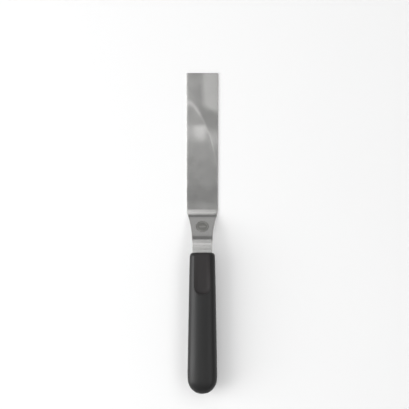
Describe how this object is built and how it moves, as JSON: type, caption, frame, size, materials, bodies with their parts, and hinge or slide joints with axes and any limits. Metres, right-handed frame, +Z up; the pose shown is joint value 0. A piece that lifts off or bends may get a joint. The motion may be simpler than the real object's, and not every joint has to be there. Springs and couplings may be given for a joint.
{
  "type": "offset spatula",
  "caption": "Offset icing spatula: thin square-ended steel blade stepped down from a rounded black handle with a thumb recess.",
  "frame": {"origin": "middle of the tool seen from above, on the plane of the blade's underside", "axes": "+Y along the tool towards the blade's tip, +X to the right seen from above, +Z up out of the thumb recess"},
  "size_m": [0.0332, 0.33, 0.0296],
  "materials": {
    "steel": "satin rolled stainless sheet",
    "core_plastic": "plain moulded, hidden",
    "grip_plastic": "fine matte moulded texture",
    "pad_rubber": "soft matte"
  },
  "bodies": {
    "root": {"blade": "steel", "core_lower": "core_plastic", "core_upper": "core_plastic", "handle_grip": "grip_plastic", "thumb_pad": "pad_rubber"}
  },
  "joints": []
}
